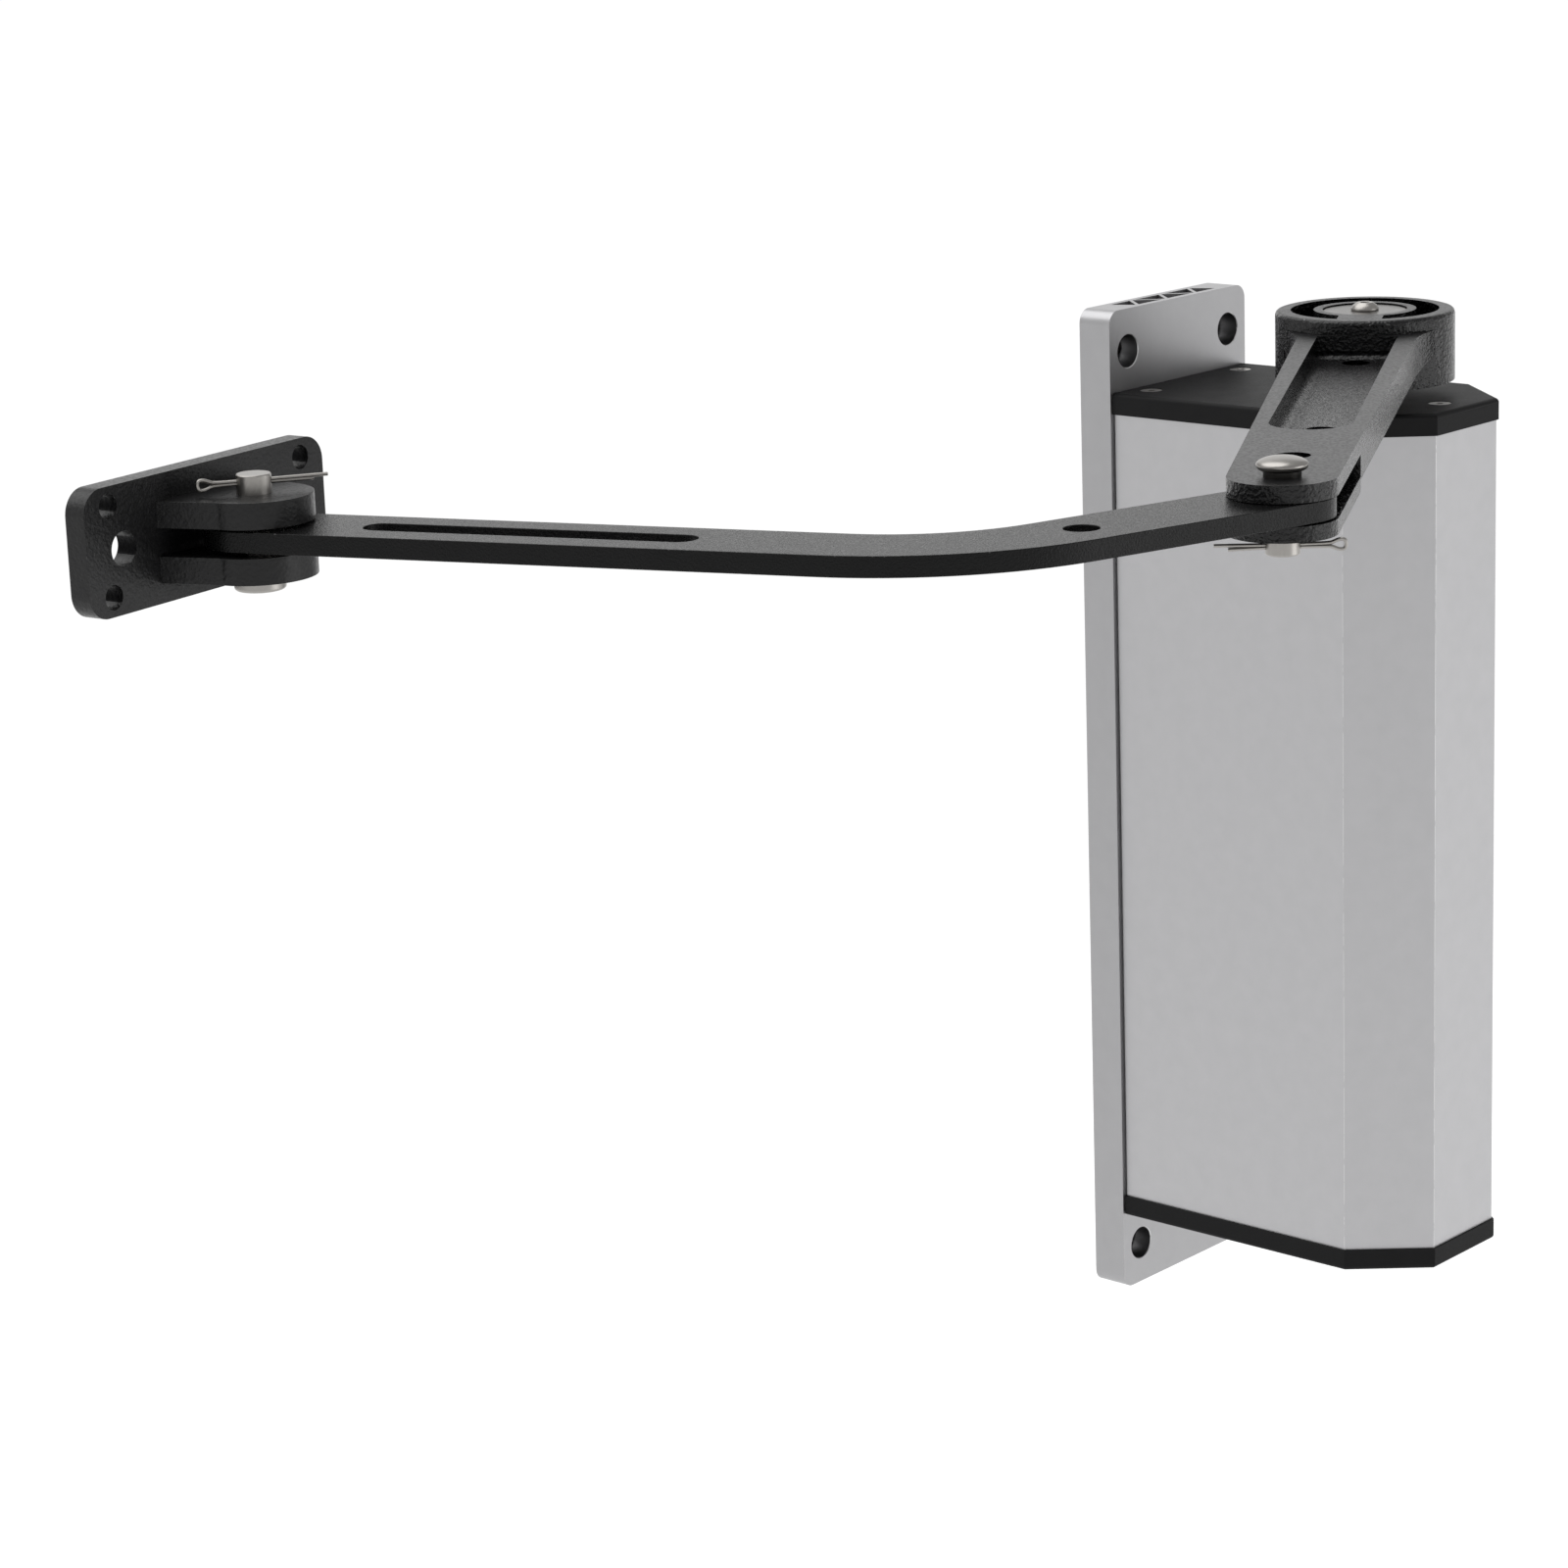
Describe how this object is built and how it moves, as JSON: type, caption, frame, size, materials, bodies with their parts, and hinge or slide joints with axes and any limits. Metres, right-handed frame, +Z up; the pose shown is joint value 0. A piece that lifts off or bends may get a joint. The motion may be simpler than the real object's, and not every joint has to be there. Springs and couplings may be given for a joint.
{
  "type": "door closer",
  "caption": "Wall-mounted hydraulic closer: chamfered aluminium housing on a hollow plate, spindle with a cast arm, a bent slotted forearm and a clevis bracket for the leaf",
  "frame": {"origin": "middle of the wall plate, on its back face", "axes": "+Z up along the spindle, +Y into the wall, the closer stands out towards -Y"},
  "size_m": [0.5271, 0.2702, 0.3673],
  "materials": {
    "plate_alloy": "satin anodised",
    "housing_alloy": "fine satin anodised",
    "cap_plastic": "matte black",
    "arm_casting": "black powder coat on a casting",
    "bar_steel": "black textured powder coat on steel",
    "stainless": "plain stainless",
    "body_alloy": "machined",
    "machined_steel": "turned and ground",
    "bronze": "sintered bronze",
    "seal_rubber": "moulded",
    "spring_steel": "oiled spring wire"
  },
  "bodies": {
    "base": {"wall_plate": "plate_alloy", "housing_tube": "housing_alloy", "top_cap": "cap_plastic", "bottom_cap": "cap_plastic", "top_cap_screws": "stainless", "bottom_cap_screws": "stainless", "hydraulic_body": "body_alloy", "body_screws": "machined_steel", "upper_head": "machined_steel", "head_seal": "seal_rubber", "lower_plug": "machined_steel", "plug_seal": "seal_rubber", "upper_bush": "bronze", "shaft_seal": "seal_rubber", "lower_bush": "bronze", "thrust_washer": "bronze", "guide_pins": "machined_steel", "closing_spring": "spring_steel"},
    "arm": {"spindle": "machined_steel", "main_arm": "arm_casting", "hub_washer": "stainless", "hub_screw": "stainless", "elbow_pin": "stainless", "elbow_split_pin": "stainless"},
    "piston": {"piston": "machined_steel", "piston_ring": "seal_rubber"},
    "forearm": {"forearm": "bar_steel"},
    "bracket": {"gate_bracket": "arm_casting", "bracket_pin": "stainless", "bracket_split_pin": "stainless"},
    "speed_valve": {"speed_valve": "machined_steel"},
    "latch_valve": {"latch_valve": "machined_steel"}
  },
  "joints": [
    {"name": "arm_swing", "type": "hinge", "parent": "base", "child": "arm", "pos_m": [0, -0.092, 0], "axis": [0, 0, 1], "range_deg": [0, 130], "stiffness_Nm_per_rad": 6, "springref_deg": -20.05},
    {"name": "piston_travel", "type": "slide", "parent": "base", "child": "piston", "axis": [0, 0, 1], "range_m": [-0.0232, 0], "deforming": ["closing_spring"]},
    {"name": "elbow_pivot", "type": "hinge", "parent": "arm", "child": "forearm", "pos_m": [-0.25041, -0.23425, 0.1683], "axis": [0, 0, 1], "range_deg": [-60, 110]},
    {"name": "bracket_pivot", "type": "hinge", "parent": "forearm", "child": "bracket", "pos_m": [-0.43267, -0.01123, 0.168], "axis": [0, 0, 1], "range_deg": [-70, 85]},
    {"name": "speed_adjust", "type": "hinge", "parent": "base", "child": "speed_valve", "pos_m": [-0.014, -0.092, -0.1275], "axis": [0, 0, 1], "range_deg": [0, 360]},
    {"name": "latch_adjust", "type": "hinge", "parent": "base", "child": "latch_valve", "pos_m": [0.014, -0.092, -0.1275], "axis": [0, 0, 1], "range_deg": [0, 360]}
  ],
  "couplings": [
    {"joint": "piston_travel", "follows": "arm_swing", "m_per_rad": -0.010186}
  ]
}
